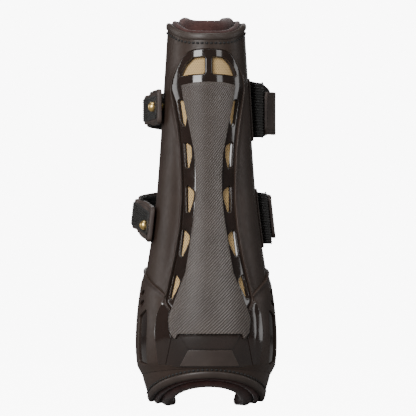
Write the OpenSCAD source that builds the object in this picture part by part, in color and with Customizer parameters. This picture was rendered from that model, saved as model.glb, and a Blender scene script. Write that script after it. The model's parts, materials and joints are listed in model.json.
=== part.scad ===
// Open-front tendon boot for a horse's foreleg, standing on its lower edge.
// +Z runs up the leg and -Y points back to the tendon. The origin is under the middle of the boot.

/* [Boot] */
// Height over the padded edges of the liner
boot_h = 270; // [255:1:285]
// Width of the shell near its top edge
top_w = 56; // [53:1:60]
// Width of the shell half-way up the cannon bone
cannon_w = 68; // [66:1:71]
// Greatest width of the shell, at the fetlock
fetlock_w = 94; // [91:1:98]
// Width of the shell at its foot
foot_w = 76; // [73:1:80]
// Depth of the shell behind the leg's axis at the top
rear_top = 33; // [31:1:36]
// Depth of the shell behind the leg's axis at the fetlock
rear_fetlock = 51; // [48:1:54]
// Depth of the section ahead of the leg's axis at the top
front_top = 41; // [39:1:44]
// Depth of the section ahead of the leg's axis at the fetlock
front_fetlock = 54; // [51:1:57]
// Angle from the tendon round to each front edge
wrap = 124; // [118:1:128]

/* [Layers] */
// Thickness of the moulded shell
shell_t = 2.4; // [2.2:0.1:2.6]
// Thickness of the ventilation mesh
mesh_t = 0.8; // [0.6:0.1:0.9]
// Thickness of the foam core
core_t = 3; // [2.6:0.1:3.2]
// Thickness of the padded liner along the leg
liner_t = 6; // [5:0.5:7]
// Thickness of the liner's rolled edges
roll_t = 9; // [8:0.5:9.5]
// How far the window frame stands proud of the shell
frame_proud = 1; // [0.8:0.1:1.4]
// Thickness of the strike plate on the frame
plate_t = 1.6; // [1.2:0.1:2]
// Thickness of the fetlock guard on the shell
guard_t = 2.2; // [1.8:0.1:2.6]
// Height of the binding on the shell's edges
binding_h = 5; // [4:0.5:6]

/* [Straps] */
// Height of the leather strap panels
strap_h = 30; // [28:1:32]
// Thickness of the elastic
elastic_t = 1.8; // [1.6:0.1:2]
// Thickness of the strap panels
panel_t = 2.2; // [2:0.1:2.4]
// Thickness of the tongues
tongue_t = 3.3; // [3:0.1:3.5]
// Diameter of the stud's ball
ball_d = 6.9; // [6.5:0.1:7.1]
// Diameter of the stud's post
post_d = 3; // [2.6:0.1:3.4]

/* [Hidden] */

axis_y = -8.49;       // the leg's axis, behind the middle of the boot's whole depth
gap = 0.3;            // clearance between neighbouring layers
around = 34;          // facets round the boot
along = 22;           // facets up the boot
edge_deg = 5;         // width of the edge binding, as an angle
foot_z = 3;           // lowest point of the shell, above the liner's foot
shell_arch = 17.2;     // rise of the shell's rear arch
liner_arch = 13.5;    // rise of the liner's rear arch
shell_drop = 4;       // the shell's top edge ends this far under the liner's, at the sides
rear_dip = 7.5;       // further dip of the shell's top edge at the tendon
liner_dip = 2.5;      // dip of the liner's top edge at the tendon
hole_deg = 0.5;       // clearance angle kept at a patch's ends

colour_shell = [0.20, 0.16, 0.145];
colour_gloss = [0.13, 0.085, 0.07];
colour_plate = [0.40, 0.36, 0.34];
colour_mesh = [0.75, 0.62, 0.42];
colour_liner = [0.24, 0.13, 0.13];
colour_elastic = [0.07, 0.065, 0.06];
colour_strap = [0.24, 0.19, 0.18];
colour_brass = [0.80, 0.62, 0.28];

// Everything is drawn round the leg's axis, then moved to its place
module placed() {
    translate([0, axis_y, 0]) children();
}

// ---- Section of the leg shell -------------------------------------------------------------

function mix(a, b, t) = a + (b - a) * t;
function clamp(v, low, high) = min(max(v, low), high);

// Smooth curve through a table of [height, value] rows
function row_at(table, z, i = 0) = i >= len(table) - 2 || z < table[i + 1][0] ? i : row_at(table, z, i + 1);
function slope_at(table, i) =
    let (a = max(i - 1, 0), b = min(i + 1, len(table) - 1))
    (table[b][1] - table[a][1]) / (table[b][0] - table[a][0]);
function curve(table, z) =
    let (i = row_at(table, z), h = table[i + 1][0] - table[i][0], t = (z - table[i][0]) / h)
    (2 * t * t * t - 3 * t * t + 1) * table[i][1] + (t * t * t - 2 * t * t + t) * h * slope_at(table, i)
    + (3 * t * t - 2 * t * t * t) * table[i + 1][1] + (t * t * t - t * t) * h * slope_at(table, i + 1);

half_width = [
    [0, foot_w / 2], [0.085 * boot_h, 0.477 * fetlock_w], [0.155 * boot_h, 0.5 * fetlock_w],
    [0.255 * boot_h, 0.484 * fetlock_w], [0.363 * boot_h, 0.436 * fetlock_w],
    [0.450 * boot_h, 0.550 * cannon_w], [0.563 * boot_h, 0.5 * cannon_w],
    [0.844 * boot_h, 0.518 * top_w], [boot_h, 0.472 * top_w],
];
rear_depth = [
    [0, 0.80 * rear_fetlock], [0.085 * boot_h, 0.93 * rear_fetlock], [0.18 * boot_h, rear_fetlock],
    [0.27 * boot_h, 0.95 * rear_fetlock], [0.37 * boot_h, 0.83 * rear_fetlock],
    [0.50 * boot_h, 1.10 * rear_top], [0.70 * boot_h, 1.03 * rear_top], [boot_h, 0.97 * rear_top],
];
front_depth = [
    [0, 0.92 * front_fetlock], [0.18 * boot_h, front_fetlock], [0.40 * boot_h, 0.90 * front_fetlock],
    [0.70 * boot_h, 1.03 * front_top], [boot_h, front_top],
];

// Point on the shell at an angle from the tendon, a height, and a distance out of the shell's surface
function skin(a, z, out) =
    let (w = curve(half_width, z) + out, d = curve(abs(a) < 90 ? rear_depth : front_depth, z) + out)
    [w * sin(a), -d * cos(a), z];

function arch(a) = abs(a) < 90 ? pow(cos(a), 1.3) : 0;
function crown(a) = pow(sin(min(abs(a), 90)), 4);
function shell_foot(a) = foot_z + shell_arch * arch(a);
function liner_foot(a) = liner_arch * arch(a);
function shell_head(a) = boot_h - shell_drop - rear_dip * (1 - crown(a));
function liner_head(a) = boot_h - liner_dip * (1 - crown(a));

// ---- Lofts --------------------------------------------------------------------------------

// Closed solid through rings of equal, even length. Each end is closed with a strip.
module loft(rings) {
    n = len(rings[0]);
    last = len(rings) - 1;
    polyhedron(
        points = [for (ring = rings) each ring],
        faces = [
            for (i = [0:last - 1], k = [0:n - 1]) let (l = (k + 1) % n) each [
                [i * n + k, i * n + l, (i + 1) * n + l],
                [i * n + k, (i + 1) * n + l, (i + 1) * n + k],
            ],
            for (j = [0:n / 2 - 2]) each [
                [j, n - 1 - j, n - 2 - j],
                [j, n - 2 - j, j + 1],
                [last * n + j, last * n + j + 1, last * n + n - 2 - j],
                [last * n + j, last * n + n - 2 - j, last * n + n - 1 - j],
            ],
        ],
        convexity = 8
    );
}

// Layer of the boot between two heights and two distances out, from one angle to the other.
// The heights are given as lists with one value for each of the steps round the boot.
module layer(from, to, steps, lows, highs, inner, outer, rows) {
    loft([
        for (i = [0:steps])
        let (a = mix(from, to, i / steps)) concat(
            [for (j = [0:rows]) skin(a, mix(lows[i], highs[i], j / rows), outer)],
            [for (j = [rows:-1:0]) skin(a, mix(lows[i], highs[i], j / rows), inner)]
        )
    ]);
}

function angles(from, to, steps) = [for (i = [0:steps]) mix(from, to, i / steps)];

// Prism through the rear of the boot, from a rear-view outline of [x, z] points
module rear_prism(outline) {
    rotate([90, 0, 0]) linear_extrude(2 * rear_fetlock) polygon(outline);
}

function mirrored(points) =
    concat(points, [for (i = [len(points) - 1:-1:0]) [-points[i][0], points[i][1]]]);

// ---- Shell, frame and plates --------------------------------------------------------------

shell_angle = wrap - edge_deg;

// Rear-view outlines, as the right half from the top down, in fractions of the boot's height
u = boot_h / 270;
frame_half = [
    [0, 247.4], [9, 246.9], [14, 245.4], [17.5, 241.2], [20.5, 235], [23.6, 227], [24.8, 219], [23.4, 210],
    [20.9, 195], [18.9, 178], [18.1, 160], [17.9, 143], [19.5, 124], [22.7, 105], [26.3, 89],
    [30.2, 73], [26, 66], [26.2, 58], [25, 52],
];
plate_half = [
    [0, 225], [10, 224.4], [17.6, 222.6], [16.2, 212], [12.4, 192], [9.4, 175], [8.6, 160], [8.7, 148],
    [10, 132], [12.6, 114], [15.9, 93], [26.6, 64], [27.2, 60], [26.2, 51], [22.8, 46.5], [21.4, 50.5],
];
inlay_half = [[20.6, 50], [14.7, 40]];
badge_half = [[14.6, 39.4], [19.3, 29.6]];
crown_window = [[2.8, 241.8], [10.5, 241], [15.6, 236], [19.2, 228.8], [11, 230], [2.8, 230.6]];
side_windows = [
    [[20.8, 212], [17.9, 212], [15.6, 200], [16.6, 194], [18.4, 196]],
    [[16.6, 183], [12.4, 180], [12.2, 173], [14.2, 165], [15.4, 166]],
    [[15.2, 153], [10.6, 149], [10.8, 144], [13.6, 134.6], [15, 135]],
    [[17.6, 122.6], [13.6, 118], [14.6, 113], [19, 104], [20, 104.6]],
    [[23.8, 91.4], [20.8, 87.4], [21.8, 83.6], [26.6, 74.6], [27.4, 75]],
];

function placed(points, side = 1) = [for (p = points) [side * p[0], u * p[1]]];

module windows() {
    for (side = [-1, 1]) {
        rear_prism(placed(crown_window, side));
        for (w = side_windows) rear_prism(placed(w, side));
    }
}

// The frame's own stretch of the boot, between two distances out
module rear_layer(low, high, inner, outer, rows) {
    half_angle = 52;
    steps = 12;
    layer(-half_angle, half_angle, steps, [for (i = [0:steps]) low], [for (i = [0:steps]) high],
        inner, outer, rows);
}

module outer_shell() {
    a = angles(-shell_angle, shell_angle, around);
    color(colour_shell) difference() {
        layer(-shell_angle, shell_angle, around,
            [for (x = a) shell_foot(x) + binding_h], [for (x = a) shell_head(x) - binding_h],
            -shell_t, 0, along);
        rear_prism(mirrored(placed([for (p = frame_half) [p[0] + (p[0] > 0 ? gap : 0), p[1]]])));
        for (strap = [upper, lower]) stud_hole(strap);
    }
}

module vent_frame() {
    color(colour_gloss) difference() {
        intersection() {
            rear_layer(u * 44, u * 250, -shell_t, frame_proud, 22);
            rear_prism(mirrored(placed(frame_half)));
        }
        windows();
    }
}

module strike_plate() {
    color(colour_plate) intersection() {
        rear_layer(u * 44, u * 228, frame_proud + gap / 2, frame_proud + plate_t, 20);
        rear_prism(mirrored(placed(plate_half)));
    }
}

module air_mesh() {
    color(colour_mesh) rear_layer(u * 66, u * 246, -shell_t - gap - mesh_t, -shell_t - gap, 18);
}

// Panel let into the guard under the strike plate, flush with it
module heel_panel(half, sunk) {
    intersection() {
        rear_layer(u * 26, u * 52, gap, guard_t - sunk, 6);
        rear_prism(mirrored(placed(half)));
    }
}

module heel_inlay() {
    color(colour_gloss) heel_panel(inlay_half, 0.7);
}

module heel_badge() {
    color(colour_shell) heel_panel(badge_half, 0.2);
}

guard_deg = 112;
guard_rise = [[0, 45], [25, 58], [40, 76], [68, 88], [90, 94], [guard_deg, 97]];
function guard_head(a) = u * curve(guard_rise, abs(a));
function guard_foot(a) = u * (22 + 4.8 * arch(a));

// Opening in the guard for the plate and everything under it
heel_opening_half = [
    [0, 92], [26, 90], [29, 76.8], [30, 73.1], [26.9, 66.4], [27.6, 60], [26.7, 50.4], [22.7, 45.9],
    [20.6, 49], [15, 39.7], [19.8, 29.2],
];

module fetlock_guard() {
    a = angles(-guard_deg, guard_deg, around);
    color(colour_gloss) difference() {
        layer(-guard_deg, guard_deg, around,
            [for (x = a) guard_foot(x)], [for (x = a) guard_head(x)], gap, guard_t, 8);
        rear_prism(mirrored(placed(heel_opening_half)));
        for (side = [-1, 1], vent = [[-15.2, 77.4, 1.9], [-19, 71.2, 2.1]])
            translate([0, vent[0], u * vent[1]])
            rotate([0, side * 90, 0])
            cylinder(r = vent[2], h = fetlock_w, $fn = 32);
    }
}

// ---- Padding ------------------------------------------------------------------------------

core_outer = -shell_t - mesh_t - 2 * gap;
liner_outer = core_outer - core_t - gap;

module foam_core() {
    core_deg = wrap - 10;
    inset = 12;
    a = angles(-core_deg, core_deg, around);
    color([0.1, 0.1, 0.1]) layer(-core_deg, core_deg, around,
        [for (x = a) shell_foot(x) + inset], [for (x = a) shell_head(x) - inset],
        core_outer - core_t, core_outer, along);
}

// Thickness of the liner at a share t of its height: its edges are rolled and rounded
function liner_depth(t) =
    let (edge = min(t, 1 - t), roll = clamp(1 - edge / 0.07, 0, 1))
    mix(liner_t, roll_t, sqrt(roll)) * (edge < 0.004 ? 0.66 : 1);

module liner() {
    rows = 20;
    color(colour_liner) loft([
        for (a = angles(-wrap, wrap, around))
        let (low = liner_foot(a), high = liner_head(a)) concat(
            [for (j = [0:rows]) let (t = (1 - cos(180 * j / rows)) / 2)
                skin(a, mix(low, high, t), liner_outer)],
            [for (j = [rows:-1:0]) let (t = (1 - cos(180 * j / rows)) / 2)
                skin(a, mix(low, high, t), liner_outer - liner_depth(t))]
        )
    ]);
}

// Lip of liner cloth turned out between the shell's binding and the rolled edge
module flange(lows, highs) {
    color(colour_liner) layer(-wrap + edge_deg, wrap - edge_deg, around, lows, highs,
        liner_outer + gap, -shell_t - gap, 2);
}

module top_liner_flange() {
    a = angles(-wrap + edge_deg, wrap - edge_deg, around);
    flange([for (x = a) shell_head(x) - 4], [for (x = a) shell_head(x) + 1.6]);
}

module bottom_liner_flange() {
    a = angles(-wrap + edge_deg, wrap - edge_deg, around);
    flange([for (x = a) shell_foot(x) - 1.6], [for (x = a) shell_foot(x) + 4]);
}

// ---- Bindings -----------------------------------------------------------------------------

// Section of the binding over its height share t: rounded outwards
function bead(t) = 0.2 + 0.9 * sqrt(1 - pow(2 * t - 1, 2));

module rim_binding(lows) {
    rows = 4;
    color(colour_strap) loft([
        for (i = [0:around])
        let (a = mix(-wrap, wrap, i / around)) concat(
            [for (j = [0:rows]) skin(a, lows[i] + binding_h * j / rows, bead(j / rows))],
            [for (j = [rows:-1:0]) skin(a, lows[i] + binding_h * j / rows, -shell_t)]
        )
    ]);
}

module top_binding() {
    rim_binding([for (x = angles(-wrap, wrap, around)) shell_head(x) - binding_h + gap / 2]);
}

module bottom_binding() {
    rim_binding([for (x = angles(-wrap, wrap, around)) shell_foot(x) - gap / 2]);
}

// Angle at a share of the edge binding's width, taken the same way round on both sides
function across(side, share) =
    mix(side * (wrap - edge_deg + hole_deg), side * wrap, side > 0 ? 1 - share : share);

module edge_binding(side) {
    rows = 4;
    low = shell_foot(wrap) + binding_h + gap;
    high = shell_head(wrap) - binding_h - gap;
    color(colour_strap) loft([
        for (i = [0:along])
        let (z = mix(low, high, i / along)) concat(
            [for (j = [0:rows]) skin(across(side, j / rows), z, bead(j / rows))],
            [for (j = [rows:-1:0]) skin(across(side, j / rows), z, -shell_t)]
        )
    ]);
}

// ---- Straps -------------------------------------------------------------------------------

// Each strap: route of the elastic's inner face as [x, y, z] from its fold to the bend of the
// tongue, route of the tongue, lean of the strap, centre and radius of the fold, reach of the
// elastic below and above the route at the fold, and the stud as [y, z, face of the tongue].
upper = [
    [[38.6, 10, 203.5], [40.2, 18, 203.5], [43.6, 27, 203.5], [45, 38, 203.5], [41.5, 50, 204],
        [31, 60, 204], [12, 64.5, 204], [-8, 63, 204.5], [-24, 55, 205], [-33.2, 43, 205],
        [-36.4, 30, 205], [-36.4, 18, 206]],
    [[-36.4, 18, 206], [-34, 8, 207], [-31.9, -1, 207.6], [-31.4, -14, 208]],
    0, [36.3, 10, 203.5], 2.3, [-17.5, 22], [-1, 207.8, 31.8],
];
lower = [
    [[43, 10, 131.5], [43.1, 18, 131.5], [43.4, 28, 131.5], [43, 38, 132], [40, 50, 133],
        [31, 60, 134], [12, 64.5, 134.5], [-8, 64, 135], [-26, 58, 135.5], [-38.5, 45, 135.5],
        [-43.6, 32, 135], [-44, 19, 133]],
    [[-44, 19, 133], [-40.8, 8, 129.5], [-37.7, -1, 127], [-37.2, -13, 125.5]],
    0.11, [40.9, 10, 131.5], 2.1, [-19.5, 17.5], [-1, 125.6, 37.7],
];
function strap_route(s) = s[0];
function tongue_route(s) = s[1];
function lean(s) = s[2];
function fold_at(s) = s[3];
function fold_r(s) = s[4];
function root_reach(s) = s[5];
function stud_at(s) = s[6];

// Smooth route through points, with a number of steps between each two
function route_slope(p, i) =
    (p[min(i + 1, len(p) - 1)] - p[max(i - 1, 0)]) / (i == 0 || i == len(p) - 1 ? 1 : 2);
function between(p, i, t) =
    (2 * t * t * t - 3 * t * t + 1) * p[i] + (t * t * t - 2 * t * t + t) * route_slope(p, i)
    + (3 * t * t - 2 * t * t * t) * p[i + 1] + (t * t * t - t * t) * route_slope(p, i + 1);
function route(p, steps) = concat(
    [for (i = [0:len(p) - 2], k = [0:steps - 1]) between(p, i, k / steps)], [p[len(p) - 1]]);

// Outward direction of a route that runs from the right round the front to the left
function outward(r, i) =
    let (d = r[min(i + 1, len(r) - 1)] - r[max(i - 1, 0)], n = sqrt(d.x * d.x + d.y * d.y))
    [d.y / n, -d.x / n];

// Ribbon along a route, between two distances out. Each station has its reach below and above
// the route. The ribbon leans by k along its own normals, or by a list of k along X.
module ribbon(r, inner, outer, reach, k) {
    loft([
        for (i = [0:len(r) - 1])
        let (n = outward(r, i), l = is_list(k) ? [k[i], 0] : k * n, low = reach[i][0], high = reach[i][1]) [
            for (c = [[outer, low], [outer, high], [inner, high], [inner, low]])
            [r[i].x + n.x * c[0] - l.x * c[1], r[i].y + n.y * c[0] - l.y * c[1], r[i].z + c[1]]
        ]
    ]);
}

// Amount that a rounded corner takes off the height at each station, towards the route's end
function rounding(r, i, corner) =
    let (left = norm(r[len(r) - 1] - r[i]), x = clamp(1 - left / corner, 0, 0.97))
    corner * (1 - sqrt(1 - x * x));

// Turns a child, made along Z at the origin, to stand at a point of a leaning route
module standing(p, n, k) {
    translate(p) rotate([atan(k * n.y), 0, 0]) rotate([0, -atan(k * n.x), 0]) children();
}

bend_r = tongue_t / 2;
step = 4;
tall = 200;

// Axis that the tongue bends on, at the strap's end
function bend_at(s) =
    let (r = route(tongue_route(s), step), n = outward(r, 0))
    [r[0].x + n.x * bend_r, r[0].y + n.y * bend_r, r[0].z];
function bend_way(s) = outward(route(tongue_route(s), step), 0);

// Reach of the elastic along its route: wide at the fold, narrow under the panel, wide at the tongue
elastic_waist = 10.5;
elastic_end = 13;
function elastic_reach(s, share) =
    let (a = clamp(1 - share / 0.3, 0, 1), b = clamp((share - 0.88) / 0.12, 0, 1), root = root_reach(s))
    [mix(mix(-elastic_waist, root[0], a), -elastic_end, b),
        mix(mix(elastic_waist, root[1], a), elastic_end, b)];

module elastic(s) {
    r = route(strap_route(s), step);
    color(colour_elastic) difference() {
        ribbon(r, 0, elastic_t, [for (i = [0:len(r) - 1]) elastic_reach(s, i / (len(r) - 1))], lean(s));
        standing(bend_at(s), bend_way(s), lean(s))
            cylinder(r = bend_r + gap, h = tall, center = true, $fn = 48);
    }
}

// The elastic's fixed end: sewn flat on the anchor patch, then folded back on itself.
// The strap swings on the outer corner of the fold's free end.
module elastic_fold(s) {
    f = fold_at(s);
    shell_lean = (curve(half_width, f.z - 19) - curve(half_width, f.z + 19)) / 38;
    flat = [for (a = [118, 114.5, 111]) skin(a, f.z, 1.9 + elastic_t)];
    turn = [for (i = [0:12]) let (q = mix(180, 354, i / 12))
        [f.x + fold_r(s) * cos(q), f.y + fold_r(s) * sin(q), f.z]];
    leans = concat([for (p = flat) shell_lean], [for (i = [0:12]) mix(shell_lean, lean(s), i / 12)]);
    r = concat(flat, turn);
    color(colour_elastic) ribbon(r, 0, elastic_t, [for (p = r) root_reach(s)], leans);
}

module anchor_patch(s) {
    f = fold_at(s);
    root = root_reach(s);
    steps = 8;
    color(colour_strap) layer(84, 117, steps,
        [for (i = [0:steps]) f.z + root[0] - 2], [for (i = [0:steps]) f.z + root[1] + 2], 0.15, 1.1, 4);
}

// Leather panel on the elastic, from just past the fold to short of the tongue
module strap_panel(s) {
    full = route(strap_route(s), step);
    r = [for (i = [2:37]) full[i]];
    half = [for (i = [0:len(r) - 1]) mix(strap_h, 22, clamp((i - 23) / 12, 0, 1)) / 2 - rounding(r, i, 5)];
    color(colour_strap) ribbon(r, elastic_t + 0.1, elastic_t + panel_t, [for (h = half) [-h, h]], lean(s));
}

// Long hole that lets the tongue over the ball
slot_w = ball_d + 0.7;
slot_l = ball_d + 3;
module slot(s) {
    p = stud_at(s);
    for (side = [-1, 1]) translate([0, p[0] + side * (slot_l - slot_w) / 2, p[1]])
        rotate([0, -90, 0]) cylinder(r = slot_w / 2, h = fetlock_w, $fn = 48);
    translate([-fetlock_w, p[0] - (slot_l - slot_w) / 2, p[1] - slot_w / 2])
        cube([fetlock_w, slot_l - slot_w, slot_w]);
}

module tongue(s) {
    r = route(tongue_route(s), 6);
    half = [for (i = [0:len(r) - 1]) mix(10.3, 12.5, clamp((i - 2) / 4, 0, 1)) - rounding(r, i, 7)];
    color(colour_strap) difference() {
        union() {
            ribbon(r, 0, tongue_t, [for (h = half) [-h, h]], lean(s));
            standing(bend_at(s), bend_way(s), lean(s))
                cylinder(r = bend_r, h = 20.6, center = true, $fn = 48);
        }
        slot(s);
    }
}

// ---- Studs --------------------------------------------------------------------------------

module stud_hole(s) {
    p = stud_at(s);
    translate([0, p[0], p[1]]) rotate([0, -90, 0]) cylinder(r = post_d / 2 + 0.05, h = fetlock_w, $fn = 48);
}

// Ball, neck and post in one turned piece, along -X
module stud(s) {
    p = stud_at(s);
    ball_out = p[2] + tongue_t + 2.2;
    root = curve(half_width, p[1]) - shell_t - 1.1;
    color(colour_brass) translate([0, p[0], p[1]]) rotate([0, -90, 0]) rotate_extrude($fn = 64)
        polygon(concat(
            [[0, root], [post_d / 2, root], [post_d / 2, ball_out - ball_d * 0.46]],
            [for (k = [-6:9]) let (q = 10 * k)
                [ball_d / 2 * cos(q), ball_out + ball_d / 2 * sin(q)]]
        ));
}

// Round plate that spreads the load inside the shell, square to the shell's slope
module stud_backplate(s) {
    p = stud_at(s);
    slope = atan((curve(half_width, p[1] + 1) - curve(half_width, p[1] - 1)) / 2);
    color(colour_brass) translate([-curve(half_width, p[1]), p[0], p[1]]) rotate([0, 90 - slope, 0])
        translate([0, 0, shell_t + 0.5]) difference() {
            cylinder(r = 4, h = 0.5, $fn = 48);
            translate([0, 0, -1]) cylinder(r = post_d / 2 + 0.4, h = 3, $fn = 48);
        }
}

placed() outer_shell();
placed() vent_frame();
placed() strike_plate();
placed() air_mesh();
placed() heel_inlay();
placed() heel_badge();
placed() fetlock_guard();
placed() foam_core();
placed() liner();
placed() top_liner_flange();
placed() bottom_liner_flange();
placed() top_binding();
placed() bottom_binding();
placed() edge_binding(-1);  // left_edge_binding
placed() edge_binding(1);  // right_edge_binding
placed() stud(upper);  // upper_stud
placed() stud_backplate(upper);  // upper_stud_backplate
placed() stud(lower);  // lower_stud
placed() stud_backplate(lower);  // lower_stud_backplate
placed() anchor_patch(upper);  // upper_anchor_patch
placed() elastic_fold(upper);  // upper_elastic_fold
placed() elastic(upper);  // upper_elastic
placed() strap_panel(upper);  // upper_strap_panel
placed() tongue(upper);  // upper_tongue
placed() anchor_patch(lower);  // lower_anchor_patch
placed() elastic_fold(lower);  // lower_elastic_fold
placed() elastic(lower);  // lower_elastic
placed() strap_panel(lower);  // lower_strap_panel
placed() tongue(lower);  // lower_tongue
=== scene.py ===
"""Open-front tendon boot: the detailed pieces, their materials, and the studio they stand in."""
import json
import math

import bmesh
import bpy
import numpy as np
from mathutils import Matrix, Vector, noise


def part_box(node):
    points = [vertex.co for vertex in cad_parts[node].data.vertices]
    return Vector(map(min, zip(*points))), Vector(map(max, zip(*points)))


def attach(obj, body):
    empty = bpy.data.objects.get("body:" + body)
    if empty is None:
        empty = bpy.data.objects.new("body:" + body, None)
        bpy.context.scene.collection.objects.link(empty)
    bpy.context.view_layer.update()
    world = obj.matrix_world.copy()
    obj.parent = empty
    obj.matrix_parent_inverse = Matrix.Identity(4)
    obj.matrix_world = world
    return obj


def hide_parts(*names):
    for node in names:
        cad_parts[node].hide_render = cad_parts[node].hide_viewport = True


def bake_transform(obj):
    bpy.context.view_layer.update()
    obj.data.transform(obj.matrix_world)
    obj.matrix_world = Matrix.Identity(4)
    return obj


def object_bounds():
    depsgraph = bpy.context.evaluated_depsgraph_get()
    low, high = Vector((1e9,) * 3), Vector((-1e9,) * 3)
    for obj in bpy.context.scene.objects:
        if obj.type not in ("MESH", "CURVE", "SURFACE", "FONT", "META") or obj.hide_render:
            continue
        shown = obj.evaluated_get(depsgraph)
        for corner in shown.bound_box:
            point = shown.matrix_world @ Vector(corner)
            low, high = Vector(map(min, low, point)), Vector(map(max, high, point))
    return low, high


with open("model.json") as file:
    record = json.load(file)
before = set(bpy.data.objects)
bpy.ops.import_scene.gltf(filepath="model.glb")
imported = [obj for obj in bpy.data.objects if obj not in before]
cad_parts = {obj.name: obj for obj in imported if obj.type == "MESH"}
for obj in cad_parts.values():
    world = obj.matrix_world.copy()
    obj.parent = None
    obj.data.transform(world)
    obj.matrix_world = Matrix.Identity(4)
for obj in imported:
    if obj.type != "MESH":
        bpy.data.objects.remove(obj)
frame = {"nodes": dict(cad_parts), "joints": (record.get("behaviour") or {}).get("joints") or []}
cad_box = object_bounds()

MM = 0.001

# ---- Section of the boot, in millimetres --------------------------------------------------

HEIGHT = (cad_box[1][2] - cad_box[0][2]) / MM
SWING = {j["name"]: j for j in frame["joints"]}
AXIS_Y = SWING["upper_strap_swing"]["pos_m"][1] / MM - 10.0  # the leg's axis, along Y
WRAP = 124.0  # angle from the tendon round to each front edge
SHELL_T = 2.4
LINER_OUT = -7.1  # the liner's outer face, measured out from the shell's outer face
ARC = 0.8  # millimetres of surface to a degree, used for outlines drawn on the boot
SHELL_FOOT, SHELL_ARCH = 3, 17.2  # the shell's lowest height, and how far its rim arches at the back
SHELL_DROP, SHELL_DIP = 4, 7.5  # the shell's top below the liner's, and its dip at the back
LINER_ARCH, LINER_DIP = 13.5, 2.5
SIDES = ((1, "right"), (-1, "left"))

# Rows of height and value; the same section that the CAD shell follows
HALF_WIDTH = [(0, 38), (22.95, 44.84), (41.85, 47), (68.85, 45.5), (98.01, 40.98), (121.5, 37.4),
              (152.01, 34), (227.88, 29.01), (270, 26.43)]
REAR_DEPTH = [(0, 40.8), (22.95, 47.43), (48.6, 51), (72.9, 48.45), (99.9, 42.33), (135, 36.3),
              (189, 33.99), (270, 32.01)]
FRONT_DEPTH = [(0, 49.68), (48.6, 54), (108, 48.6), (189, 42.23), (270, 41)]


def hermite(t, start, end, leaving, arriving):
    """Point at t on a cubic between two points, given its slopes there."""
    return ((2 * t**3 - 3 * t**2 + 1) * start + (t**3 - 2 * t**2 + t) * leaving
            + (3 * t**2 - 2 * t**3) * end + (t**3 - t**2) * arriving)


def curve(rows, z):
    """Smooth curve through rows of (place, value)."""
    x, y = np.array(rows, float).T
    slope = np.empty_like(y)
    slope[1:-1] = (y[2:] - y[:-2]) / (x[2:] - x[:-2])
    slope[0] = (y[1] - y[0]) / (x[1] - x[0])
    slope[-1] = (y[-1] - y[-2]) / (x[-1] - x[-2])
    z = np.asarray(z, float)
    i = np.clip(np.searchsorted(x, z, side="right") - 1, 0, len(x) - 2)
    h = x[i + 1] - x[i]
    return hermite((z - x[i]) / h, y[i], y[i + 1], h * slope[i], h * slope[i + 1])


def skin(a, z, out=0.0):
    """Points on the boot at angles a in degrees from the tendon, heights z, and distances out."""
    a, z, out = np.broadcast_arrays(np.asarray(a, float), np.asarray(z, float), np.asarray(out, float))
    w = curve(HALF_WIDTH, z) + out
    d = np.where(np.abs(a) < 90, curve(REAR_DEPTH, z), curve(FRONT_DEPTH, z)) + out
    r = np.radians(a)
    return np.stack([w * np.sin(r), AXIS_Y - d * np.cos(r), z], -1)


def smooth(t):
    """Smooth step from 0 to 1."""
    t = np.clip(t, 0, 1)
    return t * t * (3 - 2 * t)


def arch(a):
    """Shape of the lower rims: 1 at the tendon, 0 from each side round to the front."""
    return np.maximum(np.cos(np.radians(np.minimum(np.abs(a), 90))), 0) ** 1.3


def crown(a):
    """Shape of the upper rims: 0 at the tendon, 1 from each side round to the front."""
    return np.sin(np.radians(np.minimum(np.abs(a), 90))) ** 4


def shell_foot(a):
    return SHELL_FOOT + SHELL_ARCH * arch(a)


def shell_head(a):
    return HEIGHT - SHELL_DROP - SHELL_DIP * (1 - crown(a))


def liner_foot(a):
    return LINER_ARCH * arch(a)


def liner_head(a):
    return HEIGHT - LINER_DIP * (1 - crown(a))


def guard_foot(a):
    return 22 + 4.8 * arch(a)


def angle_of(x, z):
    """Angle on the shell, in degrees, of a point seen from the rear at x and z."""
    return np.degrees(np.arcsin(np.clip(np.asarray(x, float) / curve(HALF_WIDTH, z), -1, 1)))


# ---- Mesh helpers -------------------------------------------------------------------------


def add_mesh(name, points, faces, uv=None, sharp=40):
    """New object from points in millimetres. uv gives each point's place on its cloth or skin."""
    mesh = bpy.data.meshes.new(name)
    mesh.from_pydata((np.asarray(points, float) * MM).tolist(), [], [tuple(f) for f in faces])
    if uv is not None:
        layer = mesh.uv_layers.new(name="UVMap")
        corner = np.array([loop.vertex_index for loop in mesh.loops])
        layer.data.foreach_set("uv", np.asarray(uv, np.float32)[corner].ravel())
    obj = bpy.data.objects.new(name, mesh)
    bpy.context.scene.collection.objects.link(obj)
    fix_normals(mesh, sharp)
    return obj


def fix_normals(mesh, sharp):
    """Outward faces, shaded smooth except over edges sharper than the angle."""
    work = bmesh.new()
    work.from_mesh(mesh)
    bmesh.ops.recalc_face_normals(work, faces=work.faces)
    limit = math.radians(sharp)
    for face in work.faces:
        face.smooth = True
    for edge in work.edges:
        edge.smooth = len(edge.link_faces) != 2 or edge.calc_face_angle(0) < limit
    work.to_mesh(mesh)
    work.free()


def grid_faces(rows, columns, close_rows=False, close_columns=False):
    """Quads of a grid of points stored row by row."""
    faces = []
    for i in range(rows if close_rows else rows - 1):
        for j in range(columns if close_columns else columns - 1):
            k, m = (i + 1) % rows, (j + 1) % columns
            faces.append((i * columns + j, i * columns + m, k * columns + m, k * columns + j))
    return faces


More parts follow.
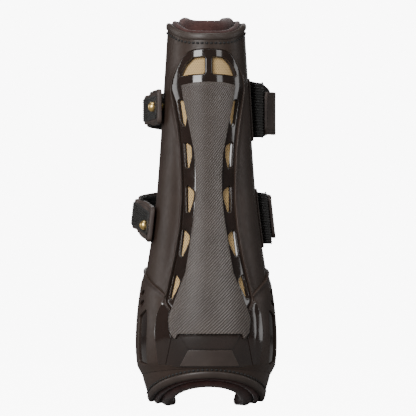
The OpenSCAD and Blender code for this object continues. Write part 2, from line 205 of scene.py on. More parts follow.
def tube_solid(name, rings, uv=None, sharp=40):
    """Closed solid through rings of points; each end is closed by one face."""
    rings = np.asarray(rings, float)
    count, around = rings.shape[:2]
    faces = grid_faces(count, around, close_columns=True)
    faces.append(tuple(range(around)))
    faces.append(tuple(reversed(range((count - 1) * around, count * around))))
    if uv is not None:
        uv = np.asarray(uv, float).reshape(-1, 2)
    return add_mesh(name, rings.reshape(-1, 3), faces, uv, sharp)


def plate(name, outlines, low, high, bevel, place, cell=2.5, sharp=50, lift=None):
    """Plate cut to flat outlines, with rounded edges, then laid on a curved surface.

    The first outline is the edge and the others are holes. place(u, v, h) gives the point of the
    surface at u, v and distance h out of it. lift(u, v) raises the plate's outer face."""
    flat = bpy.data.curves.new(name, "CURVE")
    flat.dimensions = "2D"
    flat.fill_mode = "BOTH"
    flat.extrude = (high - low) / 2 - bevel
    flat.bevel_depth = bevel
    flat.bevel_resolution = 2
    flat.offset = -bevel
    for outline in outlines:
        spline = flat.splines.new("POLY")
        spline.points.add(len(outline) - 1)
        spline.points.foreach_set("co", np.array([(x, y, 0, 1) for x, y in outline], float).ravel())
        spline.use_cyclic_u = True
    holder = bpy.data.objects.new(name, flat)
    bpy.context.scene.collection.objects.link(holder)
    bpy.context.view_layer.update()
    mesh = bpy.data.meshes.new_from_object(holder.evaluated_get(bpy.context.evaluated_depsgraph_get()))
    bpy.data.objects.remove(holder)
    work = bmesh.new()
    work.from_mesh(mesh)
    bmesh.ops.remove_doubles(work, verts=work.verts, dist=1e-4)
    for axis in (0, 1):
        spread = [v.co[axis] for v in work.verts]
        normal = Vector((1 - axis, axis, 0))
        # Each cut is a hair off the round numbers, so that it misses the outlines' own points
        for cut in np.arange(math.ceil(min(spread) / cell), math.floor(max(spread) / cell) + 1) * cell:
            bmesh.ops.bisect_plane(work, geom=work.verts[:] + work.edges[:] + work.faces[:],
                                   plane_co=normal * float(cut + 1e-3), plane_no=normal)
    work.verts.index_update()
    local = np.array([v.co for v in work.verts], float)
    faces = [[v.index for v in f.verts] for f in work.faces]
    work.free()
    bpy.data.meshes.remove(mesh)
    u, v = local[:, 0], local[:, 1]
    share = local[:, 2] / (high - low) + 0.5
    h = low + share * (high - low)
    if lift is not None:
        h = h + share * lift(u, v)
    return add_mesh(name, place(u, v, h), faces, np.stack([u, v], -1) * 0.1, sharp)


def on_boot(u, v, h):
    """Point u round the shell, at height v and distance h out, all in millimetres."""
    return skin(u / ARC, v, h)


def rear_outline(points, step=2.0):
    """Outline given as [x, z] seen from the rear, turned into outline points on the boot."""
    points = dense(points, step)
    return np.stack([angle_of(points[:, 0], points[:, 1]) * ARC, points[:, 1]], -1)


def dense(points, step, closed=True):
    """The same outline with points at most a step apart."""
    points = np.asarray(points, float)
    ends = np.roll(points, -1, 0) if closed else points[1:]
    starts = points if closed else points[:-1]
    out = []
    for p, q in zip(starts, ends):
        n = max(1, math.ceil(np.linalg.norm(q - p) / step))
        out += [p + (q - p) * k / n for k in range(n)]
    if not closed:
        out.append(points[-1])
    return np.array(out)


def rounded(points, radius, steps=4):
    """Outline with its corners rounded by a quadratic curve."""
    points = np.asarray(points, float)
    out = []
    for i, p in enumerate(points):
        before, after = points[i - 1] - p, points[(i + 1) % len(points)] - p
        r = min(radius, 0.45 * np.linalg.norm(before), 0.45 * np.linalg.norm(after))
        a, b = p + before / np.linalg.norm(before) * r, p + after / np.linalg.norm(after) * r
        for k in range(steps + 1):
            t = k / steps
            out.append((1 - t) ** 2 * a + 2 * t * (1 - t) * p + t * t * b)
    return np.array(out)


def both_sides(half):
    """Closed outline from its right half, given from the top down."""
    half = np.asarray(half, float)
    other = half[::-1] * (-1, 1)
    if abs(half[0][0]) < 1e-9:
        other = other[:-1]
    if abs(half[-1][0]) < 1e-9:
        other = other[1:]
    return np.concatenate([half, other])


def box_outline(left, right, low, high):
    return [(left, low), (right, low), (right, high), (left, high)]


# ---- Stitching ----------------------------------------------------------------------------


def stitches(name, paths, pitch, length, thick):
    """Row of thread stitches. A path is points and outward normals, in millimetres."""
    sides, rings = 8, 7
    sunk, proud, flatness = 0.3, 0.12 * thick, 0.6
    points, faces = [], []
    for path, normals in paths:
        path, normals = np.asarray(path, float), np.asarray(normals, float)
        run = np.concatenate([[0], np.cumsum(np.linalg.norm(np.diff(path, axis=0), axis=1))])
        for start in np.arange(0.3, run[-1] - length, pitch):
            s = start + np.linspace(0, 1, rings) * length
            p = np.stack([np.interp(s, run, path[:, k]) for k in range(3)], -1)
            n = np.stack([np.interp(s, run, normals[:, k]) for k in range(3)], -1)
            t = np.gradient(p, axis=0)
            t /= np.linalg.norm(t, axis=1)[:, None]
            n /= np.linalg.norm(n, axis=1)[:, None]
            side = np.cross(t, n)
            bow = np.sin(np.linspace(0, np.pi, rings))
            radius = thick / 2 * (0.35 + 0.65 * np.sqrt(bow))
            middle = p + n * ((bow - 1) * sunk + proud)[:, None]
            base = len(points)
            for k in range(rings):
                for q in np.linspace(0, 2 * np.pi, sides, endpoint=False):
                    across, up = np.cos(q), flatness * np.sin(q)
                    points.append(middle[k] + radius[k] * (across * side[k] + up * n[k]))
            faces += [tuple(base + v for v in f) for f in grid_faces(rings, sides, close_columns=True)]
            faces.append(tuple(base + k for k in range(sides)))
            faces.append(tuple(base + (rings - 1) * sides + k for k in reversed(range(sides))))
    return add_mesh(name, points, faces, np.zeros((len(points), 2)), 80)


def skin_path(a, z, out):
    """Stitch path along the boot's skin."""
    points = skin(a, z, out)
    return points, skin(a, z, np.asarray(out) + 1.0) - points


# ---- Straps -------------------------------------------------------------------------------


class Ribbon:
    """Route of a strap from its swing axis round the front to the tip of its tongue."""

    def __init__(self, strap, tongue, lean):
        route = np.array(strap + tongue[1:], float) + (0, AXIS_Y, 0)
        fine = []
        for i in range(len(route) - 1):
            m0 = (route[i + 1] - route[max(i - 1, 0)]) / (2 if i else 1)
            last = i + 2 >= len(route)
            m1 = (route[min(i + 2, len(route) - 1)] - route[i]) / (1 if last else 2)
            fine += [hermite(t, route[i], route[i + 1], m0, m1) for t in np.arange(0, 1, 0.1)]
        fine.append(route[-1])
        self.route = np.array(fine)
        flat = np.diff(self.route[:, :2], axis=0)
        self.run = np.concatenate([[0], np.cumsum(np.linalg.norm(flat, axis=1))])
        self.bend = self.run[10 * (len(strap) - 1)]
        self.length = self.run[-1]
        self.lean = lean

    def at(self, s, v, h):
        """Points at runs s along the strap, heights v over its middle, and distances h out."""
        s, v, h = np.broadcast_arrays(*(np.asarray(q, float) for q in (s, v, h)))
        p = self.beyond(s)
        n = self.normal(s)
        out = (h - self.lean * v)[..., None] * n
        return p + out + np.stack([0 * v, 0 * v, v], -1)

    def beyond(self, s):
        """Points on the strap's own line, which goes on straight past its tip."""
        p = np.stack([np.interp(s, self.run, self.route[:, k]) for k in range(3)], -1)
        over = np.maximum(s - self.length, 0)[..., None]
        end = self.route[-1] - self.route[-2]
        return p + over * end / np.linalg.norm(end[:2])

    def normal(self, s):
        """Level directions out of the strap's outer face."""
        step = 0.8
        d = self.beyond(np.maximum(s + step, step)) - self.beyond(np.maximum(s - step, 0))
        n = np.stack([d[..., 1], -d[..., 0], 0 * d[..., 0]], -1)
        return n / np.linalg.norm(n, axis=-1)[..., None]

    def path(self, s, v, h):
        """Stitch path along the strap."""
        s, v, h = np.broadcast_arrays(*(np.asarray(q, float) for q in (s, v, h)))
        return self.at(s, v, h), self.normal(s)


# A ribbon's points are x, y from the leg's axis, and z. The fold is the middle of the elastic's half
# turn, the root its lower and upper edge there, and the stud the y and z of its ball.
STRAPS = {
    "upper": {
        "ribbon": Ribbon(
            [(38.6, 10, 203.5), (40.2, 18, 203.5), (43.6, 27, 203.5), (45, 38, 203.5), (41.5, 50, 204),
             (31, 60, 204), (12, 64.5, 204), (-8, 63, 204.5), (-24, 55, 205), (-33.2, 43, 205),
             (-36.4, 30, 205), (-36.4, 18, 206)],
            [(-36.4, 18, 206), (-34, 8, 207), (-31.9, -1, 207.6), (-31.4, -14, 208)], 0.0),
        "fold": (36.3, 10, 203.5), "fold_r": 2.3, "root": (-17.5, 22), "stud": (-1, 207.8),
    },
    "lower": {
        "ribbon": Ribbon(
            [(43, 10, 131.5), (43.1, 18, 131.5), (43.4, 28, 131.5), (43, 38, 132), (40, 50, 133),
             (31, 60, 134), (12, 64.5, 134.5), (-8, 64, 135), (-26, 58, 135.5), (-38.5, 45, 135.5),
             (-43.6, 32, 135), (-44, 19, 133)],
            [(-44, 19, 133), (-40.8, 8, 129.5), (-37.7, -1, 127), (-37.2, -13, 125.5)], 0.11),
        "fold": (40.9, 10, 131.5), "fold_r": 2.1, "root": (-19.5, 17.5), "stud": (-1, 125.6),
    },
}
ELASTIC_T = 1.8
PANEL_T = 2.2
TONGUE_T = 3.3


# ---- Materials ----------------------------------------------------------------------------


def add_node(tree, kind, inputs=None, **settings):
    node = tree.nodes.new(kind)
    for key, value in settings.items():
        setattr(node, key, value)
    for key, value in (inputs or {}).items():
        if isinstance(value, bpy.types.NodeSocket):
            tree.links.new(value, node.inputs[key])
        else:
            node.inputs[key].default_value = value
    return node


def new_material(name, **sockets):
    """Material with a Principled shader whose constant sockets are set by keyword."""
    made = bpy.data.materials.new(name)
    made.use_nodes = True
    shader = made.node_tree.nodes["Principled BSDF"]
    for key, value in sockets.items():
        shader.inputs[key.replace("_", " ")].default_value = value
    return made, made.node_tree, shader


def math_node(tree, operation, a, b=0.0, c=0.0):
    return add_node(tree, "ShaderNodeMath", {0: a, 1: b, 2: c}, operation=operation).outputs[0]


def colour_between(tree, factor, low, high):
    """Colour that goes from low to high as factor goes from 0 to 1."""
    mix = add_node(tree, "ShaderNodeMix", {"Factor": factor}, data_type="RGBA")
    mix.inputs[6].default_value = (*low, 1)
    mix.inputs[7].default_value = (*high, 1)
    return mix.outputs[2]


def ramp(tree, value, low, high, out_low=0.0, out_high=1.0):
    """Value mapped smoothly from one range to another."""
    inputs = {"Value": value, "From Min": low, "From Max": high, "To Min": out_low, "To Max": out_high}
    return add_node(tree, "ShaderNodeMapRange", inputs, interpolation_type="SMOOTHSTEP").outputs[0]


def grain(tree, size, detail=3.0, kind="ShaderNodeTexNoise"):
    """Noise with features of a size in millimetres, fixed to the piece."""
    place = add_node(tree, "ShaderNodeTexCoord").outputs["Object"]
    inputs = {"Vector": place, "Scale": 1 / (size * MM)}
    if kind == "ShaderNodeTexNoise":
        inputs["Detail"] = detail
        return add_node(tree, kind, inputs).outputs["Fac"]
    return add_node(tree, kind, inputs).outputs["Distance"]


def bump(tree, shader, height, depth, strength=1.0, under=None):
    """Bump of a depth in millimetres; a second bump can lie under it."""
    inputs = {"Height": height, "Distance": depth * MM, "Strength": strength}
    if under is not None:
        inputs["Normal"] = under
    node = add_node(tree, "ShaderNodeBump", inputs)
    tree.links.new(node.outputs[0], shader.inputs["Normal"])
    return node.outputs[0]


def wave(tree, along, pitch):
    """Cosine from 0 to 1 of a coordinate in millimetres."""
    turned = math_node(tree, "COSINE", math_node(tree, "MULTIPLY", along, 2 * math.pi / pitch))
    return math_node(tree, "MULTIPLY_ADD", turned, 0.5, 0.5)


def cloth_place(tree):
    """The two coordinates along the piece's own surface, in millimetres."""
    place = add_node(tree, "ShaderNodeTexCoord").outputs["UV"]
    parts = add_node(tree, "ShaderNodeSeparateXYZ", {"Vector": place})
    return [math_node(tree, "MULTIPLY", parts.outputs[k], 10.0) for k in (0, 1)]


def moulded(name, low, high, roughness, depth, **sockets):
    """Moulded plastic: cloudy colour, fine grain and slight differences in gloss."""
    made, tree, shader = new_material(name, **sockets)
    cloud = ramp(tree, grain(tree, 26, 4), 0.3, 0.7)
    tree.links.new(colour_between(tree, cloud, low, high), shader.inputs["Base Color"])
    rub = ramp(tree, grain(tree, 3.5, 6), 0.25, 0.8, roughness - 0.05, roughness + 0.07)
    tree.links.new(rub, shader.inputs["Roughness"])
    coarse = bump(tree, shader, grain(tree, 9, 2), 0.12, 0.35)
    bump(tree, shader, grain(tree, 0.45, 3), depth, 0.5, coarse)
    return made


def twill(name):
    """Moulded twill relief of small slanted cells, in a satin finish, with painted shade in its hollows and
    painted highlight on its ridges, over a random cloudy tone.
    """
    made, tree, shader = new_material(name, Specular_IOR_Level=0.6, Coat_Weight=0.15, Coat_Roughness=0.35)
    u, v = cloth_place(tree)
    rise = math_node(tree, "ADD", u, v)
    fall = math_node(tree, "SUBTRACT", u, v)
    bands = wave(tree, fall, 2.3)
    cells = wave(tree, math_node(tree, "MULTIPLY_ADD", fall, 0.35, rise), 1.25)
    height = math_node(tree, "MULTIPLY_ADD", cells, 0.5, bands)
    cloud = ramp(tree, grain(tree, 30, 3), 0.3, 0.7, 0.0, 0.25)
    # Painted shade and highlight: the colour is darker in the relief's hollows and lighter on its ridges,
    # mixed with a random cloud of tone.
    lit = math_node(tree, "MULTIPLY_ADD", height, 0.42, cloud)
    tree.links.new(colour_between(tree, lit, (0.036, 0.027, 0.022), (0.130, 0.104, 0.090)),
                   shader.inputs["Base Color"])
    tree.links.new(ramp(tree, height, 0, 1.4, 0.44, 0.30), shader.inputs["Roughness"])
    under = bump(tree, shader, height, 0.3, 1.0)
    bump(tree, shader, grain(tree, 0.5, 2), 0.05, 0.5, under)
    return made


def spacer_mesh(name):
    """Knitted spacer mesh: slanted rows of small round holes in a soft beige yarn, with painted shade
    darkening the holes.
    """
    made, tree, shader = new_material(name, Roughness=0.8, Sheen_Weight=0.25, Sheen_Roughness=0.5)
    u, v = cloth_place(tree)
    rising = wave(tree, math_node(tree, "ADD", u, v), 2.3)
    falling = wave(tree, math_node(tree, "SUBTRACT", u, v), 2.3)
    holes = math_node(tree, "MULTIPLY", rising, falling)
    body = ramp(tree, holes, 0.25, 0.8, 1.0, 0.0)
    # Painted shade: the holes take a darker, shaded yarn colour, and the yarn between them takes the light
    # one.
    tree.links.new(colour_between(tree, body, (0.20, 0.12, 0.045), (0.70, 0.475, 0.215)),
                   shader.inputs["Base Color"])
    bump(tree, shader, body, 0.3, 1.0)
    return made


def plush(name, low, high, sheen):
    """Brushed knit: short soft pile with faint ribs."""
    made, tree, shader = new_material(name, Roughness=0.95, Sheen_Weight=sheen, Sheen_Roughness=0.45,
                                      Specular_IOR_Level=0.2)
    pile = grain(tree, 0.55, 5)
    patches = grain(tree, 6, 3)
    tone = math_node(tree, "MULTIPLY_ADD", pile, 0.6, math_node(tree, "MULTIPLY", patches, 0.55))
    tree.links.new(colour_between(tree, ramp(tree, tone, 0.3, 0.85), low, high), shader.inputs["Base Color"])
    soft = bump(tree, shader, patches, 0.5, 0.5)
    bump(tree, shader, pile, 0.28, 0.9, soft)
    return made


def hide(name, low, high, roughness, cell=0.85, depth=0.07):
    """Grained synthetic leather."""
    made, tree, shader = new_material(name, Specular_IOR_Level=0.5)
    cells = grain(tree, cell, kind="ShaderNodeTexVoronoi")
    cloud = ramp(tree, grain(tree, 14, 5), 0.3, 0.75)
    tree.links.new(colour_between(tree, cloud, low, high), shader.inputs["Base Color"])
    tree.links.new(ramp(tree, cells, 0.0, 0.6, roughness - 0.06, roughness + 0.1), shader.inputs["Roughness"])
    soft = bump(tree, shader, grain(tree, 7, 3), 0.2, 0.4)
    bump(tree, shader, cells, depth, 0.7, soft)
    return made


def woven_elastic(name):
    """Black woven elastic: cross yarns over the moulded-in ribs, with painted highlight lightening the yarn
    crests in noisy patches.
    """
    made, tree, shader = new_material(name, Roughness=0.45, Sheen_Weight=0.05, Specular_IOR_Level=0.5)
    u, v = cloth_place(tree)
    yarns = wave(tree, math_node(tree, "MULTIPLY_ADD", v, 0.6, u), 0.75)
    # Painted highlight: the colour is lighter on the yarn crests, patchy with noise.
    crest_highlight = math_node(tree, "MULTIPLY", yarns, grain(tree, 0.8, 3))
    tree.links.new(colour_between(tree, ramp(tree, crest_highlight, 0.2, 0.75), (0.006, 0.0055, 0.005),
                                  (0.040, 0.036, 0.031)), shader.inputs["Base Color"])
    bump(tree, shader, yarns, 0.12, 0.7)
    return made


def polished_brass(name):
    made, tree, shader = new_material(name, Metallic=1.0)
    rub = grain(tree, 1.6, 4)
    tree.links.new(colour_between(tree, rub, (0.78, 0.52, 0.17), (0.93, 0.69, 0.30)),
                   shader.inputs["Base Color"])
    tree.links.new(ramp(tree, rub, 0.2, 0.8, 0.26, 0.36), shader.inputs["Roughness"])
    bump(tree, shader, rub, 0.02, 0.4)
    return made


def twisted_thread(name, colour):
    made, tree, shader = new_material(name, Roughness=0.6, Sheen_Weight=0.05)
    strands = grain(tree, 0.3, 2)
    bright = tuple(2.2 * c for c in colour)
    tree.links.new(colour_between(tree, strands, colour, bright), shader.inputs["Base Color"])
    bump(tree, shader, strands, 0.08, 0.8)
    return made


LOOKS = {
    "shell": moulded("satin_shell", (0.031, 0.0195, 0.0145), (0.043, 0.0285, 0.0220), 0.42, 0.03,
                     Specular_IOR_Level=0.34),
    "gloss": moulded("gloss_frame", (0.014, 0.0085, 0.0065), (0.024, 0.0145, 0.011), 0.13, 0.004,
                     Coat_Weight=0.6, Coat_Roughness=0.06),
    "plate": twill("twill_plate"),
    "mesh": spacer_mesh("spacer_mesh"),
    "foam": moulded("black_foam", (0.012, 0.011, 0.011), (0.022, 0.021, 0.020), 0.85, 0.25),
    "liner": plush("plush_liner", (0.022, 0.0085, 0.0075), (0.085, 0.038, 0.034), 0.3),
    "binding": hide("satin_binding", (0.040, 0.028, 0.023), (0.056, 0.041, 0.034), 0.38, 0.5, 0.03),
    "strap": hide("strap_leather", (0.040, 0.026, 0.021), (0.068, 0.048, 0.040), 0.46),
    "elastic": woven_elastic("woven_elastic"),
    "brass": polished_brass("polished_brass"),
    "thread": twisted_thread("black_thread", (0.005, 0.0042, 0.004)),
}


def finish_piece(obj, look, body, nodes=()):
    """Material and body of a piece, with the CAD parts it stands for hidden."""
    obj.data.materials.clear()
    obj.data.materials.append(LOOKS[look])
    if body:
        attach(obj, body)
    if nodes:
        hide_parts(*nodes)
    return obj


# ---- Shell, frame and plates --------------------------------------------------------------

FRAME_HALF = [(0, 247.4), (9, 246.9), (14, 245.4), (17.5, 241.2), (20.5, 235), (23.6, 227), (24.8, 219),
              (23.4, 210), (20.9, 195), (18.9, 178), (18.1, 160), (17.9, 143), (19.5, 124), (22.7, 105),
              (26.3, 89), (30.2, 73), (26, 66), (26.2, 58), (25, 52)]
PLATE_HALF = [(0, 225), (10, 224.4), (17.6, 222.6), (16.2, 212), (12.4, 192), (9.4, 175), (8.6, 160),
              (8.7, 148), (10, 132), (12.6, 114), (15.9, 93), (26.6, 64), (27.2, 60), (26.2, 51),
              (22.8, 46.5), (21.4, 50.5)]
CROWN_WINDOW = [(2.8, 241.8), (10.5, 241), (15.6, 236), (19.2, 228.8), (11, 230), (2.8, 230.6)]
SIDE_WINDOWS = [
    [(20.8, 212), (17.9, 212), (15.6, 200), (16.6, 194), (18.4, 196)],
    [(16.6, 183), (12.4, 180), (12.2, 173), (14.2, 165), (15.4, 166)],
    [(15.2, 153), (10.6, 149), (10.8, 144), (13.6, 134.6), (15, 135)],
    [(17.6, 122.6), (13.6, 118), (14.6, 113), (19, 104), (20, 104.6)],
    [(23.8, 91.4), (20.8, 87.4), (21.8, 83.6), (26.6, 74.6), (27.4, 75)],
]
INLAY_HALF = [(0, 51.5), (25.6, 51.5), (30.4, 47), (31.6, 29), (22, 27.6), (0, 27.6)]
BAND_HALF = [(0, 50.6), (20.9, 50.6), (15.2, 40.2), (0, 40.2)]
BADGE_HALF = [(0, 39.4), (14.6, 39.4), (19.9, 28.2), (0, 28.2)]
GUARD_DEG = 112
GUARD_RISE = [(0, 45), (25, 58), (40, 76), (68, 88), (90, 94), (GUARD_DEG, 97)]
GUARD_OPENING = [(30.8, 73.1), (26.9, 66.4), (27.6, 60), (26.7, 50.4), (26.0, 47.4), (29.4, 29.2),
                 (19.9, 28.6)]
GUARD_VENTS = [(76.5, 78.2), (74.5, 71.2)]
SIDE_SLOT = [(61.5, 29), (77, 31), (77, 62.5), (63.5, 67.5), (61, 58)]
GLOSS_STRIP = [(59, 27.5), (79, 29), (85, 83), (67, 83), (59, 68)]
FACET = [(30.9, 72.6), (26.8, 66.4), (27.5, 60), (26.6, 50.4), (25.9, 47.4), (29.3, 29.4), (33.6, 29.4),
         (36.2, 52), (34.6, 64)]


def distance_to(outline, u, v):
    """Distance of each point to the nearest point of an outline."""
    points = dense(outline, 1.0)
    gap = np.full(len(u), 1e9)
    for p in points:
        gap = np.minimum(gap, (u - p[0]) ** 2 + (v - p[1]) ** 2)
    return np.sqrt(gap)


def offset_outline(outline, distance):
    """Outline moved outwards by a distance, for gentle shapes."""
    points = np.asarray(outline, float)
    along = np.roll(points, -1, 0) - np.roll(points, 1, 0)
    normal = np.stack([along[:, 1], -along[:, 0]], -1)
    normal /= np.linalg.norm(normal, axis=1)[:, None]
    x, y = points.T
    area = np.sum(x * np.roll(y, -1) - y * np.roll(x, -1))
    return points + normal * distance * np.sign(area)


def make_shell():
    end = WRAP - 3
    a = np.linspace(-end, end, 80)
    edge = np.concatenate([
        np.stack([a * ARC, shell_foot(a) + 2.4], -1),
        np.stack([a[::-1] * ARC, shell_head(a[::-1]) - 2.6], -1)])
    opening = offset_outline(rear_outline(rounded(both_sides(FRAME_HALF), 3)), 0.25)

    def lip(u, v):
        near = smooth(1 - distance_to(opening, u, v) / 5.5)
        return 1.15 * near * smooth((v - 60) / 30) * smooth((246 - v) / 20)

    shell = plate("outer_shell_moulding", [dense(edge, 2.5), opening], -SHELL_T, 0, 0.45, on_boot, lift=lip)
    finish_piece(shell, "shell", "boot", ["outer_shell"])


def reach_of(half):
    """Rows of height and arc length along the side of an outline, for interpolation."""
    rows = np.array(half, float)[::-1]
    rows = rows[rows[:, 1] > 51.5]
    return rows[:, 1], angle_of(rows[:, 0], rows[:, 1]) * ARC


def frame_fall(u, v):
    """How far the frame falls away from beside the plate to its own edge."""
    inner = np.interp(v, *reach_of(PLATE_HALF))
    outer = np.interp(v, *reach_of(FRAME_HALF))
    share = np.clip((np.abs(u) - inner + 1) / np.maximum(outer - inner + 1, 3), 0, 1)
    return -1.5 * share * smooth((224 - v) / 16)


def chamfer_ring(name, window):
    """Sloping wall round a window, from the frame's face in to the window's narrow end."""
    outer = rear_outline(offset_outline(window, 1.3), 1.0)
    narrow = rear_outline(window, 1.0)
    outer = dense(outer, 0.8)
    narrow = np.array([narrow[np.argmin(np.sum((narrow - p) ** 2, axis=1))] for p in outer])
    fall = frame_fall(outer[:, 0], outer[:, 1])
    corners = [(outer, 0.63 + fall), (narrow, -1.1 + fall), (narrow, -2.3), (outer, -2.3)]
    rings = [on_boot(*line.T, out) for line, out in corners]
    faces = grid_faces(4, len(outer), close_rows=True, close_columns=True)
    uv = np.concatenate([outer, narrow, narrow, outer]) * 0.1
    return add_mesh(name, np.concatenate(rings), faces, uv, 35)


def make_frame():
    windows = []
    for side, word in SIDES:
        for number, window in enumerate([CROWN_WINDOW] + SIDE_WINDOWS):
            points = rounded(window, 1.3) * (side, 1)
            windows.append(rear_outline(offset_outline(points, 0.7), 1.0))
            wall = chamfer_ring(f"{word}_window_wall_{number + 1}", points)
            finish_piece(wall, "gloss", "boot")
    edge = rear_outline(rounded(both_sides(FRAME_HALF), 3))
    vents = plate("vent_frame_moulding", [edge] + windows, -SHELL_T, 0.6, 0.3, on_boot, 2.0, 70, frame_fall)
    finish_piece(vents, "gloss", "boot", ["vent_frame"])


def make_strike_plate():
    edge = rear_outline(rounded(both_sides(PLATE_HALF), 1.2))

    def dome(u, v):
        half = np.interp(v, *reach_of(PLATE_HALF))
        return 0.9 * np.clip(1 - (u / np.maximum(half, 6)) ** 2, 0, 1)

    strike = plate("strike_plate_relief", [edge], 0.75, 2.5, 0.55, on_boot, cell=2.0, lift=dome)
    finish_piece(strike, "plate", "boot", ["strike_plate"])


def make_heel():
    base = plate("heel_gloss_panel", [rear_outline(both_sides(INLAY_HALF))], 0.2, 1.1, 0.2, on_boot)
    finish_piece(base, "gloss", "boot", ["heel_inlay"])
    band_edge = rear_outline(rounded(both_sides(BAND_HALF), 0.6))
    band = plate("heel_gloss_band", [band_edge], 0.9, 1.7, 0.3, on_boot, cell=2.0)
    finish_piece(band, "gloss", "boot")
    badge_edge = rear_outline(rounded(both_sides(BADGE_HALF), 0.8))
    badge = plate("heel_badge_blank", [badge_edge], 0.9, 2.2, 0.35, on_boot, cell=2.0)
    finish_piece(badge, "binding", "boot", ["heel_badge"])
    for side, word in SIDES:
        edge = [(side * a * ARC, z) for a, z in GLOSS_STRIP]
        strip = plate(f"{word}_gloss_strip", [edge], 0.1, 0.8, 0.2, on_boot)
        finish_piece(strip, "gloss", "boot")


def inner_slope(u, v):
    """How far the guard slopes down towards the plate, within a wide facet beside it."""
    near = np.interp(v, [29, 47, 50, 60, 66, 73], [29.4, 26.0, 26.7, 27.6, 26.9, 30.8])
    far = np.interp(v, [29, 52, 64, 73], [33.6, 36.2, 34.6, 30.9])
    near, far = angle_of(near, v) * ARC, angle_of(far, v) * ARC
    share = np.clip((far - np.abs(u)) / np.maximum(far - near, 0.5), 0, 1)
    return np.where((v > 29) & (v < 73), 1.3 * share, 0)


def make_facets():
    for side, word in SIDES:
        edge = rear_outline(np.array(FACET) * (side, 1), 1.0)
        facet = plate(f"{word}_gloss_facet", [edge], 1.6, 2.27, 0.12, on_boot, 1.5,
                      lift=lambda u, v: -inner_slope(u, v))
        finish_piece(facet, "gloss", "boot")


def make_guard():
    front = np.linspace(GUARD_DEG, 41.5, 40)
    head = np.stack([front * ARC, curve(GUARD_RISE, front)], -1)
    inner = [(angle_of(x, z) * ARC, z) for x, z in GUARD_OPENING]
    right = list(head) + inner
    left = [(-u, v) for u, v in right[::-1]]
    foot = np.linspace(-GUARD_DEG, GUARD_DEG, 60)
    low = np.stack([foot * ARC, guard_foot(foot)], -1)
    edge = dense(np.concatenate([np.array(right), np.array(left), low]), 2.0)
    holes = []
    for side in (1, -1):
        for a, z in GUARD_VENTS:
            turn = np.linspace(0, 2 * np.pi, 28, endpoint=False)
            x = 4.2 * np.cos(turn)
            holes.append(np.stack([side * (a * ARC + x), z + 2.1 * np.sin(turn) - 0.3 * x], -1))
        holes.append(dense(rounded([(side * a * ARC, z) for a, z in SIDE_SLOT], 1.5), 2.0))

    def thinned(u, v):
        """The guard fades into the shell at its foot and has a raised lip along its head."""
        a = np.abs(u / ARC)
        foot_gap = v - guard_foot(a)
        head_gap = np.where(a > 41, curve(GUARD_RISE, a) - v, 99)
        groove = smooth(head_gap / 3) * (1 - smooth((head_gap - 3) / 7))
        return -1.7 * smooth(1 - foot_gap / 6.5) - 0.8 * groove - inner_slope(u, v)

    guard = plate("fetlock_guard_moulding", [edge] + holes, -0.4, 2.2, 0.6, on_boot, lift=thinned)
    finish_piece(guard, "shell", "boot", ["fetlock_guard"])


def make_mesh():
    a = np.linspace(-52, 52, 70)
    z = np.linspace(66, 246, 110)
    points = skin(a[None, :], z[:, None], -SHELL_T - 0.5).reshape(-1, 3)
    uv = np.stack(np.broadcast_arrays(a[None, :] * ARC, z[:, None]), -1).reshape(-1, 2) * 0.1
    mesh = add_mesh("air_mesh_sheet", points, grid_faces(len(z), len(a)), uv)
    finish_piece(mesh, "mesh", "boot", ["air_mesh"])


# ---- Bindings, flanges and liner ----------------------------------------------------------


def oval(count, power):
    """Unit superellipse."""
    q = np.linspace(0, 2 * np.pi, count, endpoint=False)
    c, s = np.cos(q), np.sin(q)
    return np.sign(c) * np.abs(c) ** (2 / power), np.sign(s) * np.abs(s) ** (2 / power)


def rim_tube(name, middle, half_height, outs, power, end=WRAP):
    """Band along a rim: middle(a) is its height, outs its inner and outer distance."""
    a = np.linspace(-end, end, 110)
    x, y = oval(26, power)
    v = middle(a)[:, None] + half_height * x[None, :]
    h = (outs[0] + outs[1]) / 2 + (outs[1] - outs[0]) / 2 * y[None, :]
    rings = skin(a[:, None], v, h + 0 * v)
    uv = np.stack(np.broadcast_arrays(a[:, None] * ARC, v), -1) * 0.1
    return tube_solid(name, rings, uv, 60)


def make_bindings():
    top = rim_tube("top_binding_band", lambda a: shell_head(a) - 2.4, 2.55, (-2.5, 1.1), 2.6)
    finish_piece(top, "binding", "boot", ["top_binding"])
    bottom = rim_tube("bottom_binding_band", lambda a: shell_foot(a) + 2.3, 2.55, (-2.5, 1.1), 2.6)
    finish_piece(bottom, "binding", "boot", ["bottom_binding"])
    for side, word in reversed(SIDES):
        z = np.linspace(float(shell_foot(WRAP)) + 4.4, float(shell_head(WRAP)) - 4.6, 120)
        x, y = oval(26, 2.6)
        a = side * (WRAP - 2.3) + 2.6 * x[None, :]
        h = -0.7 + 1.75 * y[None, :]
        rings = skin(a + 0 * z[:, None], z[:, None] + 0 * a, h + 0 * z[:, None])
        uv = np.stack(np.broadcast_arrays(a * ARC, z[:, None]), -1) * 0.1
        band = tube_solid(f"{word}_edge_binding_band", rings, uv, 60)
        finish_piece(band, "binding", "boot", [f"{word}_edge_binding"])


def make_flanges():
    top = rim_tube("top_liner_piping", lambda a: shell_head(a) - 1.2, 2.8, (-6.6, -2.9), 2.4, WRAP - 5)
    finish_piece(top, "liner", "boot", ["top_liner_flange"])
    foot = rim_tube("bottom_liner_piping", lambda a: shell_foot(a) + 1.2, 2.8, (-6.6, -2.9), 2.4, WRAP - 5)
    finish_piece(foot, "liner", "boot", ["bottom_liner_flange"])


